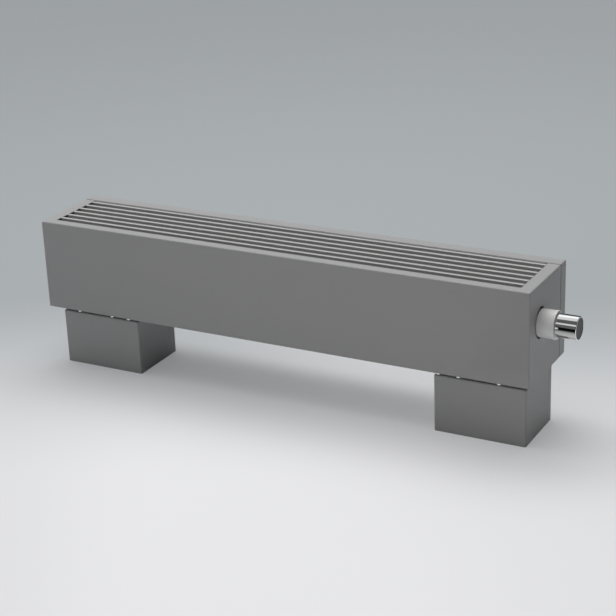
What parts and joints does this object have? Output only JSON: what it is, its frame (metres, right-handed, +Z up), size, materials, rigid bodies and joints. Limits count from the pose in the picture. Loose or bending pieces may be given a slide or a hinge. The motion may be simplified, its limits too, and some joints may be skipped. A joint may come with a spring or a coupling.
{
  "type": "floor-standing convector",
  "caption": "Low convector on box plinths, with a lift-out bar grille on top, a finned exchanger inside and a thermostatic head at the right end.",
  "frame": {"origin": "on the floor, at the middle of the bottom of the overall box", "axes": "+X along the casing towards the thermostatic head, +Y from the front to the back, +Z up"},
  "size_m": [0.92, 0.152, 0.247],
  "materials": {
    "casing_paint": "satin powder coat, mid grey",
    "grille_paint": "satin powder coat, mid grey",
    "grille_spacer": "satin",
    "polished_spacer": "polished",
    "galvanised": "zinc coated",
    "fixing_steel": "zinc plated",
    "spring_steel": "blued",
    "fin_aluminium": "mill finish",
    "copper": "drawn copper tube, semi matt",
    "brass": "turned",
    "nickel": "satin nickel plate",
    "seal_rubber": "matt",
    "white_plastic": "moulded, semi gloss",
    "polished_chrome": "mirror polished",
    "dark_end_face": "dark satin"
  },
  "bodies": {
    "root": {"front_casing": "casing_paint", "rear_panel": "casing_paint", "cover_clips": "spring_steel", "rear_panel_screws": "fixing_steel", "grille_ledge_left": "galvanised", "grille_ledge_right": "galvanised", "support_plate_left": "galvanised", "support_plate_right": "galvanised", "fin_pack": "fin_aluminium", "hairpin_tube_front": "copper", "hairpin_tube_rear": "copper", "exchanger_end_plate_left": "galvanised", "exchanger_end_plate_right": "galvanised", "end_plate_screws": "fixing_steel", "supply_header": "brass", "return_header": "brass", "header_plugs": "nickel", "air_vent_body": "nickel", "supply_elbow": "brass", "supply_union_nut": "nickel", "thermostatic_valve_body": "nickel", "valve_bonnet": "brass", "spring_seat": "fixing_steel", "valve_spring": "spring_steel", "head_union_nut": "nickel", "head_base": "white_plastic", "flow_compression_nut": "brass", "flow_pipe": "copper", "flow_fitting": "brass", "return_union_nut": "nickel", "lockshield_body": "nickel", "lockshield_cap": "white_plastic", "return_pipe": "copper", "return_fitting": "brass", "plinth_cover_left": "casing_paint", "plinth_back_left": "casing_paint", "plinth_base_left": "galvanised", "plinth_back_screws_left": "fixing_steel", "plinth_spacers_left": "polished_spacer", "plinth_bolts_left": "fixing_steel", "plinth_nuts_left": "fixing_steel", "plinth_cover_right": "casing_paint", "plinth_back_right": "casing_paint", "plinth_base_right": "galvanised", "plinth_back_screws_right": "fixing_steel", "plinth_spacers_right": "polished_spacer", "plinth_bolts_right": "fixing_steel", "plinth_nuts_right": "fixing_steel"},
    "grille": {"grille_slats": "grille_paint", "grille_rods": "fixing_steel", "grille_spacers": "grille_spacer"},
    "handle": {"head_handle": "polished_chrome", "handle_end_cap": "dark_end_face", "head_retaining_ring": "spring_steel"},
    "stem": {"sensor_capsule": "brass", "valve_stem": "fixing_steel", "valve_disc": "seal_rubber"},
    "bleed_key": {"bleed_screw": "brass"},
    "spindle": {"lockshield_spindle": "brass"}
  },
  "joints": [
    {"name": "grille_lift", "type": "slide", "parent": "root", "child": "grille", "axis": [0, 0, 1], "range_m": [0, 0.05]},
    {"name": "handle_turn", "type": "hinge", "parent": "root", "child": "handle", "pos_m": [0.444, -0.032, 0.186], "axis": [1, 0, 0], "range_deg": [-150, 150]},
    {"name": "stem_travel", "type": "slide", "parent": "root", "child": "stem", "axis": [1, 0, 0], "range_m": [-0.0012, 0.0012], "deforming": ["valve_spring"]},
    {"name": "bleed_turn", "type": "hinge", "parent": "root", "child": "bleed_key", "pos_m": [0.305, 0.03, 0.185], "axis": [0, 0, 1], "range_deg": [0, 360]},
    {"name": "lockshield_turn", "type": "hinge", "parent": "root", "child": "spindle", "pos_m": [0.305, -0.016, 0.076], "axis": [0, 1, 0], "range_deg": [0, 720]}
  ],
  "couplings": [
    {"joint": "stem_travel", "follows": "handle_turn", "m_per_rad": 0.000458}
  ]
}
